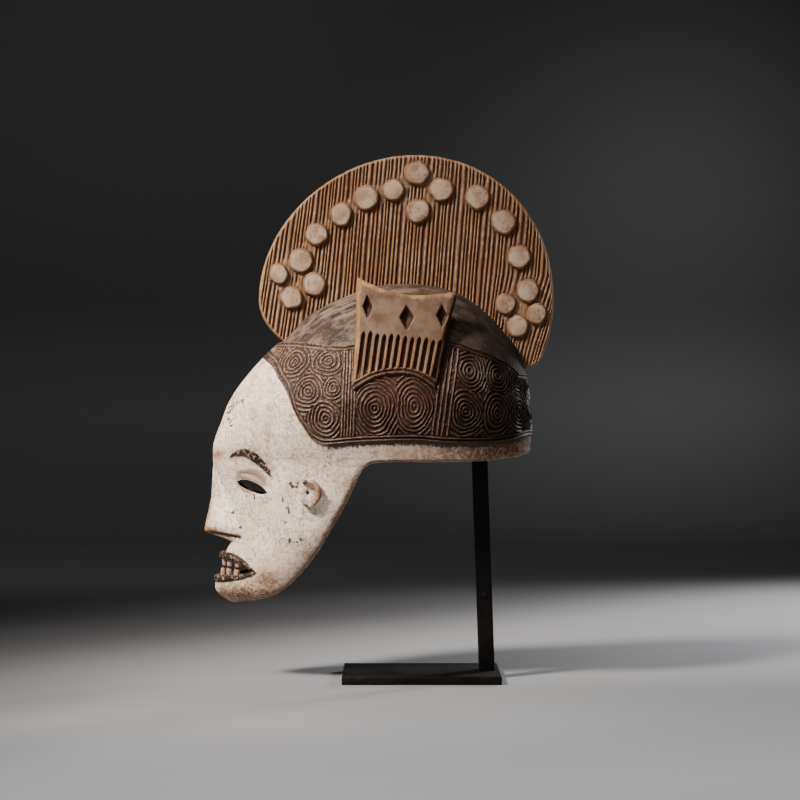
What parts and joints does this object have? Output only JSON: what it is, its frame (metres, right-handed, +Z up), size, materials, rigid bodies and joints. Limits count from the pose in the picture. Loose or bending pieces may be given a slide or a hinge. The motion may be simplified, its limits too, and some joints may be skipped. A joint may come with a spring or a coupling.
{
  "type": "igbo maiden spirit mask",
  "caption": "Carved wooden helmet mask with a white face, a coiled coiffure, a comb on each side and a tall fluted crest with discs, held up on a steel bar and foot plate.",
  "frame": {"origin": "on the floor, under the middle of the whole object's box", "axes": "+Z up; the mask looks along -Y; its left side is +X"},
  "size_m": [0.2048, 0.3595, 0.5405],
  "materials": {
    "painted_wood": "hand carved wood under chalky white clay and worn brown pigment, matte, with fine cracks",
    "black_steel": "blackened and waxed steel, low sheen, faint scratches"
  },
  "bodies": {
    "root": {"mask": "painted_wood", "stand_post": "black_steel", "stand_base": "black_steel"}
  },
  "joints": []
}
